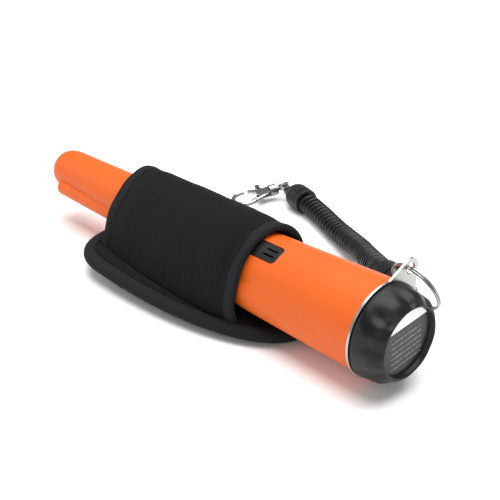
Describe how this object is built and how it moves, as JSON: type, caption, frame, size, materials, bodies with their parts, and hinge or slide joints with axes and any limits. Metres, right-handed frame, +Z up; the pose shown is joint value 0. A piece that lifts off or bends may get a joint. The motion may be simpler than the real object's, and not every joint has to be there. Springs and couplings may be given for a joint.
{
  "type": "pinpointer probe",
  "caption": "Tapered hand-held metal-detecting probe with a screw battery cap, carried in an open-ended belt holster, with a coiled lanyard and swivel clasp.",
  "frame": {"origin": "centre of the bounding box at its base, on the ground below the middle of the probe, lanyard left out", "axes": "+X along the probe from its tip to its battery cap, +Y towards the side the lanyard lies on, +Z up"},
  "size_m": [0.227, 0.1307, 0.0502],
  "materials": {
    "orange_shell": "fine satin moulded plastic",
    "black_rubber": "soft-touch rubber",
    "black_plastic": "satin",
    "clear_lens": "clear",
    "board_green": "solder mask",
    "chip_black": "matt",
    "trimmer_blue": "gloss",
    "steel": "polished nickel-plated steel",
    "motor_can": "satin",
    "ferrite": "sintered ferrite",
    "bobbin": "natural nylon",
    "copper": "enamelled copper wire",
    "battery_jacket": "printed metal jacket",
    "label_film": "printed film",
    "nylon_fabric": "ribbed nylon cloth",
    "nylon_tape": "woven binding tape",
    "nylon_webbing": "webbing",
    "coil_cord": "smooth urethane cord"
  },
  "bodies": {
    "probe": {"housing_shell": "orange_shell", "scraping_blade": "orange_shell", "thread_collar": "black_plastic", "control_pad": "black_rubber", "led_lens": "clear_lens", "led": "clear_lens", "tact_switch": "black_plastic", "circuit_board": "board_green", "controller_chip": "chip_black", "trimmer": "trimmer_blue", "capacitor": "battery_jacket", "chassis": "black_plastic", "board_screw_front": "steel", "board_screw_rear": "steel", "speaker": "motor_can", "motor_body": "motor_can", "ferrite_core": "ferrite", "coil_bobbin": "bobbin", "drive_winding": "copper", "sense_winding": "copper", "core_spacer": "black_plastic", "contact_board": "board_green", "battery": "battery_jacket", "battery_terminals": "steel", "lanyard_plate": "steel"},
    "button": {"power_button": "black_rubber"},
    "eccentric": {"motor_weight": "steel"},
    "follower": {"pressure_plate": "black_plastic", "cap_spring": "steel"},
    "cap": {"cap_core": "black_plastic", "cap_oring": "black_rubber", "battery_cap": "black_rubber", "cap_label": "label_film"},
    "split_ring": {"key_ring": "steel"},
    "lanyard": {"near_eye": "steel", "near_socket": "black_plastic", "near_clamp": "black_plastic", "lanyard_coil": "coil_cord", "far_clamp": "black_plastic", "far_socket": "black_plastic"},
    "link": {"link_ring": "steel"},
    "swivel": {"clasp_swivel": "steel"},
    "clasp": {"clasp_body": "steel", "lever_pin": "steel"},
    "lever": {"clasp_lever": "steel"},
    "holster": {"holster_sleeve": "nylon_fabric", "front_binding": "nylon_tape", "rear_binding": "nylon_tape", "back_panel": "nylon_fabric", "panel_binding": "nylon_tape", "belt_loop": "nylon_webbing"}
  },
  "joints": [
    {"name": "holster_slide", "type": "slide", "parent": "probe", "child": "holster", "axis": [-1, 0, 0], "range_m": [0, 0.17]},
    {"name": "cap_travel", "type": "slide", "parent": "probe", "child": "follower", "axis": [1, 0, 0], "range_m": [0, 0.0076]},
    {"name": "cap_turn", "type": "hinge", "parent": "follower", "child": "cap", "pos_m": [0.1015, 0, 0.0245], "axis": [1, 0, 0], "range_deg": [0, 900]},
    {"name": "button_press", "type": "slide", "parent": "probe", "child": "button", "axis": [0, 0.454, -0.891], "range_m": [0, 0.0008], "stiffness_N_per_m": 900},
    {"name": "motor_spin", "type": "hinge", "parent": "probe", "child": "eccentric", "pos_m": [-0.029, -0.00045, 0.02539], "axis": [1, 0, 0], "continuous": true},
    {"name": "ring_swing", "type": "hinge", "parent": "probe", "child": "split_ring", "pos_m": [0.0998, 0.0142, 0.0458], "axis": [1, 0, 0], "range_deg": [0, 60]},
    {"name": "lanyard_swing", "type": "hinge", "parent": "split_ring", "child": "lanyard", "pos_m": [0.09264, 0.02382, 0.0275], "axis": [-0.7952, -0.2191, 0.5654], "range_deg": [-60, 0]},
    {"name": "link_swing", "type": "hinge", "parent": "lanyard", "child": "link", "pos_m": [-0.03762, 0.08941, 0.0066], "axis": [0, 0, 1], "range_deg": [-35, 22]},
    {"name": "eye_swing", "type": "hinge", "parent": "link", "child": "swivel", "pos_m": [-0.04406, 0.09086, 0.0066], "axis": [0, 0, 1], "range_deg": [-30, 18]},
    {"name": "clasp_swivel", "type": "hinge", "parent": "swivel", "child": "clasp", "pos_m": [-0.04657, 0.08493, 0.0057], "axis": [-0.3869, -0.9115, -0.1392], "continuous": true},
    {"name": "lever_press", "type": "hinge", "parent": "clasp", "child": "lever", "pos_m": [-0.04977, 0.08048, 0.00494], "axis": [-0.0544, -0.1281, 0.9903], "range_deg": [0, 20], "stiffness_Nm_per_rad": 0.02, "springref_deg": -11.46}
  ],
  "couplings": [
    {"joint": "cap_travel", "follows": "cap_turn", "m_per_rad": 0.00047746}
  ]
}
